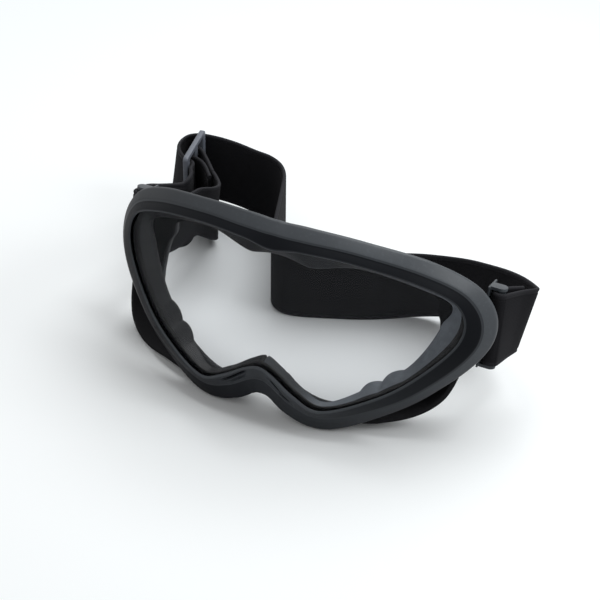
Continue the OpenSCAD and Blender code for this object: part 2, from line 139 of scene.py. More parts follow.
def unfolded(points: Array, lead: Array) -> Array:
    """Evens out rings of points where they run back on themselves.

    Args:
        points: (rings, stations, 3).
        lead: step from each station to the next along the guiding edge.

    Returns:
        The points, changed only where a ring folded.
    """
    rounds, least = 240, 0.2 * (lead ** 2).sum(-1)
    p = points.copy()
    for _ in range(rounds):
        tight = ((np.roll(p, -1, 1) - p) * lead).sum(-1) < least
        near = tight | np.roll(tight, 1, 1)
        p = np.where(near[..., None], (np.roll(p, 1, 1) + np.roll(p, -1, 1)) / 2, p)
    return p


# Meshes

def linked(name: str, data: Any) -> Piece:
    """Object of a mesh, light or camera, linked to the scene."""
    if isinstance(data, bpy.types.Mesh):
        data.polygons.foreach_set("use_smooth", [True] * len(data.polygons))
    obj = bpy.data.objects.new(name, data)
    bpy.context.scene.collection.objects.link(obj)
    return obj


def new_object(name: str, verts: Array, faces: Sequence[Sequence[int]],
               uvs: Array | None = None) -> Piece:
    """Smooth-shaded mesh object at the origin, with its normals outwards.

    Args:
        name: the piece's name.
        verts: points in millimetres.
        faces: corners of each face.
        uvs: one (u, v) a point in millimetres, or None.

    Returns:
        The object.
    """
    mesh = bpy.data.meshes.new(name)
    mesh.from_pydata((np.asarray(verts, float) * MM).tolist(), [], [list(f) for f in faces])
    if uvs is not None:
        loops = np.zeros(len(mesh.loops), np.int32)
        mesh.loops.foreach_get("vertex_index", loops)
        layer = mesh.uv_layers.new(name="cloth")
        layer.data.foreach_set("uv", (np.asarray(uvs, float)[loops] * MM).ravel())
    mesh.validate()
    work = bmesh.new()
    work.from_mesh(mesh)
    bmesh.ops.recalc_face_normals(work, faces=work.faces)
    work.to_mesh(mesh)
    work.free()
    return linked(name, mesh)


def lofted(name: str, sections: Array, closed: bool, uvs: Array | None = None) -> Piece:
    """Skin through closed sections.

    Args:
        name: the piece's name.
        sections: (points of a section, stations, 3) in millimetres.
        closed: True where the last station meets the first; else both ends are capped.
        uvs: (points of a section, stations, 2) or None.

    Returns:
        The object.
    """
    m, n = sections.shape[:2]
    verts = sections.transpose(1, 0, 2).reshape(-1, 3)
    faces = [(i * m + j, i * m + (j + 1) % m, ((i + 1) % n) * m + (j + 1) % m,
              ((i + 1) % n) * m + j)
             for i in range(n if closed else n - 1) for j in range(m)]
    if not closed:
        faces += [tuple(range(m)), tuple(range((n - 1) * m, n * m))]
    flat = None if uvs is None else uvs.transpose(1, 0, 2).reshape(-1, 2)
    obj = new_object(name, verts, faces, flat)
    for cap in [] if closed else obj.data.polygons[-2:]:
        for loop in cap.loop_indices:
            obj.data.edges[obj.data.loops[loop].edge_index].use_edge_sharp = True
    return obj


def softened_copy(node: str, name: str, width: float) -> Piece:
    """Copy of a solid with its triangles merged and its edges rounded.

    Args:
        node: the solid's name.
        name: the copy's name.
        width: width of the rounding in millimetres.

    Returns:
        The copy, with a live Bevel modifier.
    """
    flat, sharp = math.radians(0.5), math.radians(35)
    mesh = bpy.data.objects[node].data.copy()
    mesh.name = name
    mesh.materials.clear()
    work = bmesh.new()
    work.from_mesh(mesh)
    bmesh.ops.remove_doubles(work, verts=work.verts, dist=2e-6)
    bmesh.ops.dissolve_limit(work, angle_limit=flat, verts=work.verts, edges=work.edges)
    work.to_mesh(mesh)
    work.free()
    obj = linked(name, mesh)
    bevel = obj.modifiers.new("rounding", "BEVEL")
    bevel.width, bevel.segments = width * MM, 3
    bevel.limit_method, bevel.angle_limit = "ANGLE", sharp
    bevel.harden_normals = True
    return obj


# Node trees

@dataclass
class Tree:
    """A node tree and the one way in which nodes are added to it."""

    tree: bpy.types.NodeTree

    def node(self, kind: str, inputs: dict[Any, Any] | None = None,
             **settings: Any) -> bpy.types.Node:
        """Adds a node.

        Args:
            kind: the node's type.
            inputs: values or wires by the input's name or index.
            settings: the node's properties, set before its inputs.

        Returns:
            The node.
        """
        made = self.tree.nodes.new(kind)
        for key, value in settings.items():
            setattr(made, key, value)
        for key, value in (inputs or {}).items():
            if isinstance(value, Wire):
                self.tree.links.new(value.socket, made.inputs[key])
            else:
                made.inputs[key].default_value = value
        return made

    def wire(self, kind: str, inputs: dict[Any, Any] | None = None, output: Any = 0,
             **settings: Any) -> Wire:
        """Adds a node, like `node`, and returns the output of that name or index."""
        return Wire(self, self.node(kind, inputs, **settings).outputs[output])

    def maths(self, operation: str, *values: Any) -> Wire:
        """Returns a Math node's value."""
        return self.wire("ShaderNodeMath", dict(enumerate(values)), operation=operation)


def overload(operation: str, first: bool = True) -> Callable[[Wire, Any], Wire]:
    """Makes a wire's operator, which adds a Math node.

    Args:
        operation: what the node does.
        first: False where the wire is the second of the two values.

    Returns:
        The method.
    """
    return lambda wire, other: wire.owner.maths(
        operation, *((wire, other) if first else (other, wire)))


@dataclass
class Wire:
    """A node's output; sums on it add Math nodes."""

    owner: Tree
    socket: bpy.types.NodeSocket

    __add__, __radd__ = overload("ADD"), overload("ADD", False)
    __sub__, __rsub__ = overload("SUBTRACT"), overload("SUBTRACT", False)
    __mul__, __rmul__ = overload("MULTIPLY"), overload("MULTIPLY", False)

    def after(self, operation: str) -> Wire:
        """The value after an operation that takes one value, such as FLOOR."""
        return self.owner.maths(operation, self)

    def within(self, low: float, high: float) -> Wire:
        """Smooth step from 0 at low to 1 at high."""
        ends = {"Value": self, "From Min": low, "From Max": high}
        return self.owner.wire("ShaderNodeMapRange", ends, interpolation_type="SMOOTHSTEP")


class Skin(Tree):
    """A material's tree with the patterns that the finishes share."""

    def __init__(self, name: str) -> None:
        """Makes the material.

        Args:
            name: the material's name.
        """
        self.material = bpy.data.materials.new(name)
        self.material.use_nodes = True
        super().__init__(self.material.node_tree)
        self.tree.nodes.clear()
        self.place = self.wire("ShaderNodeTexCoord", output="Object")

    def speckle(self, grain: float, detail: float) -> Wire:
        """Noise from 0 to 1.

        Args:
            grain: size of a speck in millimetres.
            detail: fine detail of the noise.

        Returns:
            The noise.
        """
        scale = 1 / (grain * MM)
        return self.wire("ShaderNodeTexNoise",
                         {"Vector": self.place, "Scale": scale, "Detail": detail})

    def painted_shade(self) -> Wire:
        """The piece's own painted_shade values: how far painted shade takes its colour to the
        deep tone.
        """
        return self.wire("ShaderNodeAttribute", output="Fac", attribute_name="painted_shade")

    def blend(self, share: Wire, low: Wire | Colour, high: Colour) -> Wire:
        """Colour between two, by share."""
        first = low if isinstance(low, Wire) else (*low, 1)
        return self.wire("ShaderNodeMix", {"Factor": share, 6: first, 7: (*high, 1)}, 2,
                         data_type="RGBA")

    def bump(self, height: Wire, depth: float, under: Wire | None = None) -> Wire:
        """Normal from a height.

        Args:
            height: height from 0 to 1.
            depth: what 1 stands for, in millimetres.
            under: normal that it is laid over, or None.

        Returns:
            The normal.
        """
        inputs = {"Height": height, "Distance": depth * MM, "Strength": 1.0}
        if under is not None:
            inputs["Normal"] = under
        return self.wire("ShaderNodeBump", inputs)

    def principled(self, **inputs: Any) -> Wire:
        """Principled shader; its sockets have underscores for the spaces in their names."""
        named = {key.replace("_", " "): value for key, value in inputs.items()}
        return self.wire("ShaderNodeBsdfPrincipled", named)

    def either(self, share: Wire, first: Wire, second: Wire) -> Wire:
        """Shader between two, by share."""
        return self.wire("ShaderNodeMixShader", {0: share, 1: first, 2: second})


# Finishes

@dataclass(frozen=True)
class Surface:
    """A finish: its material's name, its slot in the record and its own tones."""

    name: str
    slot: str

    def shader(self, s: Skin) -> Wire:
        """Lays the finish's nodes and returns the shader in which they end."""
        raise NotImplementedError(self.name)

    def make(self) -> bpy.types.Material:
        """Makes the material."""
        s = Skin(self.name)
        s.node("ShaderNodeOutputMaterial", {"Surface": self.shader(s)})
        return s.material


@dataclass(frozen=True)
class Moulded(Surface):
    """A moulding between two tones, which goes over to a deep one by painted shade on the piece.
    """

    dark: Colour
    light: Colour
    roughness: float
    deep: Colour = (0.0, 0.0, 0.0)

    def tone(self, s: Skin, share: Wire) -> Wire:
        """Its colour, with the light tone by share and darkened to the deep tone by painted
        shade.
        """
        return s.blend(s.painted_shade(), s.blend(share, self.dark, self.light), self.deep)


@dataclass(frozen=True)
class MouldedPlastic(Moulded):
    """Satin moulded plastic with a fine sparked texture and faint handling marks."""

    coat: float = 0.6
    spark: float = 0.012

    def shader(self, s: Skin) -> Wire:
        """Lays cloudy tones, rubbed marks and a coat that fades where painted shade lies."""
        cloud, mark, grain = s.speckle(14, 2), s.speckle(1.7, 5), s.speckle(0.22, 2)
        rub = mark.within(0.52, 0.72)
        return s.principled(
            Base_Color=self.tone(s, cloud * 0.65 + rub * 0.35),
            Roughness=self.roughness + (cloud - 0.5) * 0.16 + rub * 0.06,
            # The coat fades with the painted shade, so the painted shade also dims the
            # reflection.
            Specular_IOR_Level=0.06, Coat_Weight=(1 - s.painted_shade()) * self.coat,
            Coat_Roughness=0.36, Normal=s.bump(grain, self.spark, s.bump(cloud, 0.05)))


@dataclass(frozen=True)
class SoftRubber(Moulded):
    """Matte moulded rubber, a little dusty in the hollows."""

    shine: float = 0.42

    def shader(self, s: Skin) -> Wire:
        """Lays dust, fine waves and the rubber's skin."""
        cloud, fine, skin = s.speckle(11, 3), s.speckle(2.3, 6), s.speckle(0.35, 3)
        dust = (cloud * 0.55 + fine * 0.45).within(0.42, 0.68)
        return s.principled(
            Base_Color=self.tone(s, dust), Roughness=self.roughness + dust * 0.12,
            Specular_IOR_Level=self.shine, Normal=s.bump(skin, 0.02, s.bump(fine, 0.04)))


@dataclass(frozen=True)
class OpenFoam(Surface):
    """Open-cell foam: a pattern of pores, darkened by painted shade, in a matte ground."""

    wall: Colour
    painted_pore_shade: Colour
    cell: float

    def shader(self, s: Skin) -> Wire:
        """Lays pores with painted shade in them, and fuzz."""
        cells = s.wire("ShaderNodeTexVoronoi", {"Vector": s.place, "Scale": 1 / (self.cell * MM)},
                       "Distance", feature="F1")
        wall, fuzz = cells.within(0.18, 0.52), s.speckle(0.5, 4)
        return s.principled(
            Base_Color=s.blend((1 - wall) * 0.8 + fuzz * 0.2, self.wall, self.painted_pore_shade),
            Roughness=0.96 - fuzz * 0.06, Specular_IOR_Level=0.2, Sheen_Weight=0.15,
            Sheen_Roughness=0.6, Normal=s.bump(wall, 0.25, s.bump(fuzz, 0.08)))


@dataclass(frozen=True)
class Webbing(Surface):
    """Elastic webbing: lengthwise ribs with small crossing picks, smooth selvages with a painted
    highlight.
    """

    low: Colour
    high: Colour
    rib: float
    pick: float
    selvage: tuple[float, float] = (2.6, 1.9)

    def shader(self, s: Skin) -> Wire:
        """Lays the weave over the piece's UV map, which is in real lengths."""
        uv = s.wire("ShaderNodeUVMap", uv_map="cloth")
        u, v = (s.wire("ShaderNodeSeparateXYZ", {0: uv}, axis) for axis in "XY")
        column = v * (1 / (self.rib * MM))
        rib = (column * math.pi).after("SINE").after("ABSOLUTE")
        along = u * (1 / (self.pick * MM)) + column.after("FLOOR") * 0.5
        pick = (along * math.pi).after("SINE").after("ABSOLUTE")
        # The lighter colour along the selvages is a painted highlight; their lower roughness is
        # the smoother weave.
        off = (v - WEB_WIDTH * MM / 2).after("ABSOLUTE")
        edge = off.within(*((WEB_WIDTH / 2 - k) * MM for k in self.selvage))
        weave = rib * (pick * 0.5 + 0.5)
        lint, worn = s.speckle(0.6, 4).within(0.5, 0.8), s.speckle(16, 2)
        share = weave * 0.35 + worn * 0.35 + lint * 0.15 + edge * 0.3
        return s.principled(
            Base_Color=s.blend(share, self.low, self.high),
            Roughness=0.84 - edge * 0.2 + worn * 0.08, Specular_IOR_Level=0.08,
            Sheen_Weight=0.02, Sheen_Roughness=0.5,
            Normal=s.bump(weave * (1 - edge * 0.6) + lint * 0.15, 0.06))


@dataclass(frozen=True)
class ClearLens(Surface):
    """Thin clear polycarbonate: it tints what lies behind, and shines at a slant."""

    tint: Colour
    shine: float

    def shader(self, s: Skin) -> Wire:
        """Lays a tint with a reflection over it by Schlick's rule."""
        through = s.wire("ShaderNodeBsdfTransparent", {0: (*self.tint, 1)})
        gloss = s.principled(Base_Color=(0.5, 0.53, 0.56, 1), Metallic=1.0,
                             Roughness=0.05 + s.speckle(9, 4) * 0.06)
        normal, incoming = (s.wire("ShaderNodeNewGeometry", output=key)
                            for key in ("Normal", "Incoming"))
        facing = s.wire("ShaderNodeVectorMath", {0: normal, 1: incoming}, "Value",
                        operation="DOT_PRODUCT")
        slant = 1 - facing.after("ABSOLUTE")
        straight = 0.04
        share = (straight + (1 - straight) * slant * slant * slant * slant * slant) * self.shine
        return s.either(share, through, gloss)


@dataclass(frozen=True)
class Paper(Surface):
    """Plain pale ground, which throws less light back than the camera sees on it.

    Far from the object, past its shadow, the camera sees it as evenly lit.
    """

    colour: Colour
    thrown: Colour
    far: Colour
    fade: tuple[float, float] = (0.17, 0.45)

    def shader(self, s: Skin) -> Wire:
        """Lays the paper, and the even ground by the distance in metres from the origin."""
        seen = s.wire("ShaderNodeLightPath", output="Is Camera Ray")
        paper = s.principled(Base_Color=s.blend(seen, self.thrown, self.colour), Roughness=0.9,
                             Specular_IOR_Level=0.0)
        even = s.wire("ShaderNodeEmission", {0: (*self.far, 1)})
        away = s.wire("ShaderNodeVectorMath", {0: s.place}, "Value", operation="LENGTH")
        return s.either(away.within(*self.fade) * seen, paper, even)


class Finish(Enum):
    """The finishes of the goggles and the table."""

    # RIM and SEAT take a third, deep tone, which painted shade leads them to.
    RIM = MouldedPlastic("satin dark rim", "rim_plastic", (0.037, 0.043, 0.050),
                         (0.060, 0.069, 0.079), 0.42, (0.006, 0.007, 0.009))
    GREY = MouldedPlastic("satin slate buckle", "grey_plastic", (0.105, 0.116, 0.142),
                          (0.155, 0.168, 0.198), 0.42)
    SEAT = SoftRubber("seat rubber", "seat_rubber", (0.165, 0.187, 0.212),
                      (0.225, 0.250, 0.280), 0.50, (0.004, 0.004, 0.005))
    SKIRT = SoftRubber("skirt rubber", "skirt_rubber", (0.009, 0.009, 0.010),
                       (0.016, 0.016, 0.018), 0.65, shine=0.08)
    FACE_FOAM = OpenFoam("face foam", "face_foam", (0.034, 0.036, 0.040),
                         (0.010, 0.010, 0.012), 0.9)
    VENT_FOAM = OpenFoam("vent foam", "vent_foam", (0.02, 0.02, 0.022),
                         (0.006, 0.006, 0.007), 1.3)
    WEB = Webbing("black webbing", "webbing", (0.009, 0.009, 0.010), (0.024, 0.024, 0.028),
                  0.8, 0.8)
    THREAD = SoftRubber("stitch thread", "thread", (0.02, 0.02, 0.022), (0.04, 0.04, 0.044), 0.7)
    LENS = ClearLens("clear lens", "lens_clear", (0.90, 0.903, 0.908), 0.3)
    TABLE = Paper("white table", "", (0.95, 0.97, 0.975), (0.60, 0.60, 0.605),
                  (0.939, 0.982, 0.991))


_made: dict[Finish, bpy.types.Material] = {}


def dressed(obj: Piece, finish: Finish) -> Piece:
    """Gives an object one finish, whose material is made once.

    Args:
        obj: the object.
        finish: its finish.

    Returns:
        The object.
    """
    if finish not in _made:
        _made[finish] = finish.value.make()
    obj.data.materials.clear()
    obj.data.materials.append(_made[finish])
    return obj


# Placing

@dataclass(frozen=True)
class Stance:
    """How the goggles lean and stand, and where they are from the origin."""

    lean: float = 11.7
    eye_height: float = 53.2
    x: float = 8.12
    y: float = -68.89

    def leaned(self, p: Array) -> Array:
        """Turns and lifts points of the goggles' own frame, still about their middle."""
        a = math.radians(self.lean)
        x, y, z = p[..., 0], p[..., 1], p[..., 2]
        return np.stack([x, math.cos(a) * y + math.sin(a) * z,
                         self.eye_height - math.sin(a) * y + math.cos(a) * z], -1)

    def shifted(self, p: Array) -> Array:
        """Moves points from about the goggles' middle to the origin's frame."""
        return p + np.array([self.x, self.y, 0.0])

    def placed(self, p: Array) -> Array:
        """Both moves."""
        return self.shifted(self.leaned(p))


STANCE = Stance()


class Body(Enum):
    """The bodies that pieces ride on."""

    GOGGLES = "goggles"
    SLIDER = "slider"


def stands_for(obj: Piece, finish: Finish, *nodes: str) -> Piece:
    """Dresses a piece and says which solids it takes the place of.

    Args:
        obj: the piece.
        finish: its finish.
        nodes: the solids.

    Returns:
        The piece.
    """
    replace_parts(dressed(obj, finish), *nodes)
    log.info("%s: %d faces for %s", obj.name, len(obj.data.polygons), ", ".join(nodes))
    return obj


def seat_on(obj: Piece, finish: Finish, *nodes: str, body: Body = Body.GOGGLES) -> None:
    """Dresses a piece, like `stands_for`, and lets it ride on a body."""
    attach(stands_for(obj, finish, *nodes), body.value)


def pad(obj: Piece, finish: Finish, node: str, depth: float, grain: float, seed: float) -> None:
    """Gives a pad an uneven face, and seats it on the goggles.

    Args:
        obj: the piece.
        finish: its finish.
        node: the solid that it stands for.
        depth: greatest move of a point along its normal, in millimetres.
        grain: size of a bump in millimetres.
        seed: shift of the noise, fixed for each kind of piece.
    """
    for v in obj.data.vertices:
        where = v.co / (grain * MM) + Vector((seed, seed, seed))
        v.co += v.normal * noise.noise(where) * depth * MM
    seat_on(obj, finish, node)


# Repeats and rule-following forms

class GrowTree(Tree):
    """A geometry tree with named inputs, applied to a mesh and then removed."""

    def __init__(self, name: str, **inputs: str) -> None:
        """Makes an empty tree.

        Args:
            name: the tree's name.
            inputs: socket type by name, besides the geometry.
        """
        super().__init__(bpy.data.node_groups.new(name, "GeometryNodeTree"))
        sockets = [("Geometry", "INPUT", "Geometry"), ("Geometry", "OUTPUT", "Geometry")]
        for key, way, kind in sockets + [(key, "INPUT", kind) for key, kind in inputs.items()]:
            self.tree.interface.new_socket(name=key, in_out=way, socket_type="NodeSocket" + kind)
        self.inlet = self.node("NodeGroupInput")

    def given(self, name: str) -> Wire:
        """Returns a named input's wire."""
        return Wire(self, self.inlet.outputs[name])

    def shifts(self, **axes: Any) -> Wire:
        """Returns a vector of the axes that are named."""
        return self.wire("ShaderNodeCombineXYZ", axes)

    def grow(self, geometry: Wire, base: Piece, name: str, **values: Any) -> Piece:
        """Ends the tree and runs it on a mesh.

        Args:
            geometry: what the tree hands out.
            base: the mesh that it starts from, which is removed.
            name: the result's name.
            values: the named inputs.

        Returns:
            A plain mesh object.
        """
        real = self.wire("GeometryNodeRealizeInstances", {0: geometry})
        self.node("NodeGroupOutput", {0: real})
        modifier = base.modifiers.new("grow", "NODES")
        modifier.node_group = self.tree
        for item in self.tree.interface.items_tree:
            if item.in_out == "INPUT" and item.name in values:
                modifier[item.identifier] = values[item.name]
        bpy.context.view_layer.update()
        graph = bpy.context.evaluated_depsgraph_get()
        mesh = bpy.data.meshes.new_from_object(base.evaluated_get(graph))
        mesh.name = name
        bpy.data.objects.remove(base)
        return linked(name, mesh)


def stitches(lines: Piece, name: str, pitch: float, thread: float, dash: float) -> Piece:
    """Lays a thread along each line of a mesh: a dash every pitch.

    Args:
        lines: the mesh, which is removed.
        name: the result's name.
        pitch: length from dash to dash in millimetres.
        thread: a dash's radius.
        dash: a dash's length.

    Returns:
        The stitches.
    """
    t = GrowTree("stitches", Pitch="Float", Thread="Float", Dash="Float")
    curve = t.wire("GeometryNodeMeshToCurve", {0: t.given("Geometry")})
    steps = t.wire("GeometryNodeResampleCurve", {"Curve": curve, "Length": t.given("Pitch")},
                   mode="LENGTH")
    points = t.node("GeometryNodeCurveToPoints", {0: steps}, mode="EVALUATED")
    ball = t.wire("GeometryNodeMeshUVSphere", {"Segments": 8, "Rings": 6, "Radius": 1.0})
    size = t.shifts(X=t.given("Thread"), Y=t.given("Thread"), Z=t.given("Dash") * 0.5)
    laid = t.wire("GeometryNodeInstanceOnPoints", {
        "Points": Wire(t, points.outputs["Points"]), "Instance": ball,
        "Rotation": Wire(t, points.outputs["Rotation"]), "Scale": size})
    return t.grow(laid, lines, name, Pitch=pitch * MM, Thread=thread * MM, Dash=dash * MM)


def bent_sheet(sheet: Piece, name: str, radius: float, depth: float, thickness: float) -> Piece:
    """Bends a flat sheet round an upright cylinder, thickens it and leans it back.

    Args:
        sheet: the flat mesh, which is removed.
        name: the result's name.
        radius: the bend's radius in millimetres.
        depth: how far behind the frame's origin the sheet's front lies.
        thickness: the sheet's thickness.

    Returns:
        The sheet.
    """
    t = GrowTree("bent sheet", Radius="Float", Depth="Float", Thickness="Float", Lean="Float",
                 Place="Vector")
    here = t.wire("GeometryNodeInputPosition")
    x, z = (t.wire("ShaderNodeSeparateXYZ", {0: here}, axis) for axis in "XZ")
    bend = t.given("Radius")
    back = bend - t.maths("SQRT", bend * bend - x * x) + t.given("Depth")
    front = t.wire("GeometryNodeSetPosition", {
        "Geometry": t.given("Geometry"), "Position": t.shifts(X=x, Y=back, Z=z)})
    thick = t.wire("GeometryNodeExtrudeMesh", {
        "Mesh": front, "Offset": t.shifts(Y=1.0), "Offset Scale": t.given("Thickness"),
        "Individual": False}, mode="FACES")
    flipped = t.wire("GeometryNodeFlipFaces", {0: front})
    joined = t.node("GeometryNodeJoinGeometry", {0: flipped})
    t.tree.links.new(thick.socket, joined.inputs[0])
    whole = t.wire("GeometryNodeMergeByDistance", {
        "Geometry": Wire(t, joined.outputs[0]), "Distance": 1e-6})
    stood = t.wire("GeometryNodeTransform", {
        "Geometry": whole, "Translation": t.given("Place"),
        "Rotation": t.shifts(X=0 - t.given("Lean"))})
    return t.grow(stood, sheet, name, Radius=radius * MM, Depth=depth * MM,
                  Thickness=thickness * MM, Lean=math.radians(STANCE.lean),
                  Place=(STANCE.x * MM, STANCE.y * MM, STANCE.eye_height * MM))


# Goggles

@dataclass
class LensFrame:
    """The rings that follow the lens's edge: rim, lens, seat, skirt and foams.

    A `Half` has one value a knot, from the middle under the nose to the middle of the brow.
    Widths are outwards from the lens's edge, and depths are backwards from its front.

    Attributes:
        window: the edge's knots, (x, z), on the right half.
        face: share of the rim's width that its sloped face takes.
        line: share of the seat's front that carries a painted shadow line along the lens's edge.
        rim_painted_shade: painted shade on the rim's sloped face.
        seat_painted_shade: painted shade on the seat.
        push: share of the cheek's push, for the left cheek, which lies on the table.
        rise: share of the rise of the rim's widest line at the temples.
        slant: how far widths keep to the edge's own normal, and else to upright.
        dents: vent hollows: knot, half length, place across at both ends and depth.
        vents: vent foams: solid, first knot and last knot.
    """

    radius: float = 140.0
    window: tuple[tuple[float, float], ...] = (
        (0, -25), (7, -27.5), (17.5, -34.5), (29, -39), (46, -32), (64, -19.5), (80.5, 1),
        (78.5, 17.5), (61, 27.3), (36, 32.6), (14, 33), (0, 31))
    rim_w: Half = (16.5, 15.7, 14.5, 12.4, 11.2, 11.2, 11.8, 8.5, 8.8, 8.4, 9.4, 11.2)
    face: Half = (0.44, 0.44, 0.42, 0.38, 0.5, 0.6, 0.64, 0.55, 0.5, 0.5, 0.48, 0.58)
    seat_w: Half = (2, 1, 0.4, 0.4, 2.3, 4.6, 10.6, 6.2, 6.2, 6.2, 10.6, 6.2)
    seat_d: Half = (*[10.2] * 4, *[14.8] * 2, *[12.8] * 6)
    # Painted shadow line along the lens's edge, on the seat's front.
    line: Half = (0.36, 0.36, 0.36, 0.36, 0.38, 0.42, 0.52, 0.62, 0.56, 0.4, 0.36, 0.36)
    # Painted shade for the fall of light: the rim's sloped face darker than its band, the seat
    # darker over the nose and brow.
    rim_painted_shade: Half = (0.3, 0.2, 0.2, 0.35, 0.65, 0.85, *[1] * 6)
    seat_painted_shade: Half = (0.7, 0.8, 0.75, 0.1, 0, 0, 0, 0, 0.6, 0.9, 0.9, 0.9)
    skirt_w: Half = (10.5, 10.5, 10, 8.2, 12.5, 13.5, 2.2, 0, *[-1.5] * 4)
    skirt_d: Half = (*[17] * 4, 19, 21, *[24] * 6)
    root_w: Half = (11, 11, 10.5, 8.2, 15.5, 17.5, 2.6, 3.4, 4, 4, 4.5, 5)
    foam_w: Half = (3.5, 3.5, 3.5, 4.5, 8, 11, 19, 15, 9, 7, 7, 7)
    push: Half = (0, 0, 0, 0.1, 0.22, 1, *[0] * 6)
    rise: Half = (0, 0, 0, 0, 0.15, 0.5, 1, 0.2, 0, 0, 0, 0)
    slant: Half = (0, 0.25, 0.5, 0.85, *[1] * 8)
    cheek_push: float = 12.0
    temple_rise: float = 3.0
    temple_root: float = 2.6
    scallop: float = 2.0
    scallop_knot: float = 3.8
    seam: float = 1.0
    lip_t: float = 1.4
    lip_lap: float = 2.2
    lens_t: float = 2.0
    lens_room: float = 0.4
    fit: float = 0.2
    rim_depth: float = 10.5
    band_depth: float = 8.0
    ridge_depth: float = 3.5
    seat_least: float = 0.3
    seat_sunk: float = 1.1
    skirt_t: float = 2.4
    skirt_lip: float = 2.0
    skirt_bend: float = 0.4
    foam_t: float = 5.5
    foam_inset: float = 0.4
    vent_t: float = 2.5
    vent_half: float = 3.0
    vent_taper: int = 12
    gap: float = 0.3
    dents: tuple[tuple[float, ...], ...] = (
        (1.4, 0.6, 0.25, 0.8, 1.8), (1.75, 0.4, 0.75, 0.95, 1.3),
        (20.5, 0.75, 0.45, 0.15, 1.8), (20.6, 0.55, 0.8, 0.65, 1.1))
    vents: tuple[tuple[str, float, float], ...] = (
        ("brow_vent_foam", 8.4, 13.6), ("right_nose_vent_foam", 1.4, 3.6),
        ("left_nose_vent_foam", 18.4, 20.6))
    n: int = 20

    def __post_init__(self) -> None:
        """Works out the stations along the ring and the skirt's lines through them."""
        half = np.array(self.window, float)
        self.edge = curve(np.concatenate([half, half[-2:0:-1] * [-1, 1]]), self.n, True)
        along = unit(np.roll(self.edge, -1, 0) - np.roll(self.edge, 1, 0))
        self.out = unit(np.stack([self.ring(self.slant) * along[:, 1], -along[:, 0]], -1))
        self.knot = np.arange(len(self.edge)) / self.n
        self.left = self.edge[:, 0] < 0
        press = np.where(self.left, self.cheek_push * np.maximum(self.ring(self.push), 0), 0)
        self.root = self.rim_depth + self.fit
        self.root_out = np.maximum(self.ring(self.root_w), self.temple_root) + press
        self.rear, self.rear_out = self.ring(self.skirt_d), self.ring(self.skirt_w) + press / 2
        self.bend = (self.root + self.rear - self.skirt_lip) / 2
        self.bend_out = self.root_out + self.skirt_bend * (self.rear_out - self.root_out)
        self.inner_out = self.rear_out - self.ring(self.foam_w)

    def ring(self, half: Half) -> Array:
        """Whole ring of values from its half."""
        h = np.asarray(half, float)
        return curve(np.concatenate([h, h[-2:0:-1]]), self.n, True)

    def surface(self, out: Array, back: Array, rows: slice | Array = slice(None)) -> Array:
        """Points out from the lens's edge and behind its front, in the origin's frame.

        Args:
            out: distance outwards, one value a station.
            back: distance backwards, one value a station.
            rows: the stations.

        Returns:
            Points in millimetres.
        """
        p = self.edge[rows] + np.asarray(out)[..., None] * self.out[rows]
        y = self.radius - np.sqrt(self.radius ** 2 - p[..., 0] ** 2) + back
        return STANCE.placed(np.stack([p[..., 0], y, p[..., 1]], -1))

    def ring_piece(self, name: str, corners: Sequence[tuple[Any, Any]], radius: float,
                   steps: int, painted_shades: Sequence[Any] = ()) -> Piece:
        """Closed ring with a rounded section.

        Args:
            name: the piece's name.
            corners: section corners (out, back), numbers or one value a station.
            radius: rounding of the corners.
            steps: points that take a corner's place.
            painted_shades: painted shade at each corner, like the corners, or nothing.

        Returns:
            The object.
        """
        flat = np.zeros(len(self.edge))
        section = rounded([(flat + a, flat + b) for a, b in corners], radius, steps)
        edge = self.surface(flat, flat)
        ring = lofted(name, unfolded(self.surface(section[..., 0], section[..., 1]),
                                     np.roll(edge, -1, 0) - edge), True)
        # Stores the painted shade in the mesh's painted_shade attribute.
        if painted_shades:
            layer = ring.data.attributes.new("painted_shade", "FLOAT", "POINT")
            values = np.repeat(np.array([flat + k for k in painted_shades]), steps, axis=0)
            layer.data.foreach_set("value", values.T.ravel())
        return ring

    def hollows(self, u: float) -> Array:
        """Depth of the vent hollows beside the nose, one value a station.

        Args:
            u: share of the way from the lens's edge to the ridge.

        Returns:
            How far the rim's front face lies back there.
        """
        out = np.zeros(len(self.edge))
        for at, half, low, high, deep in self.dents:
            along = (self.knot - at) / half
            middle = low + (high - low) * (along + 1) / 2
            out += deep * np.exp(-(along / 0.8) ** 4 - ((u - middle) / 0.12) ** 4)
        return out

    def build_rim(self) -> None:
        """Front rim: lip over the lens, sloped face darkened by painted shade, ridge, outer band
        and rear.
        """
        w, rise = self.ring(self.rim_w), self.temple_rise * np.maximum(self.ring(self.rise), 0)
        face, lap = w * self.ring(self.face), self.lip_lap + self.lens_room
        ridge, band = self.ridge_depth - rise / 2, self.band_depth - rise
        slope = [(1 + u * (face - 1.9), u ** 1.15 * (ridge - 0.95) + self.hollows(u))
                 for u in np.linspace(1, 0, 20)]
        x, z = self.edge.T
        # Painted shade: the band is darker towards the left, less so above the lens and more so
        # below.
        band_painted_shade = gone(40 - x, 120) * (1 - 0.3 * gone(z, 25))
        band_painted_shade = np.minimum(band_painted_shade + 0.3 * gone(-z, 30), 0.97)
        # Painted shade on the sloped face: light at the nose, deeper towards the temple and brow,
        # and deep all over the left side.
        painted_shading = np.maximum(self.ring(self.rim_painted_shade), gone(-x, 50))
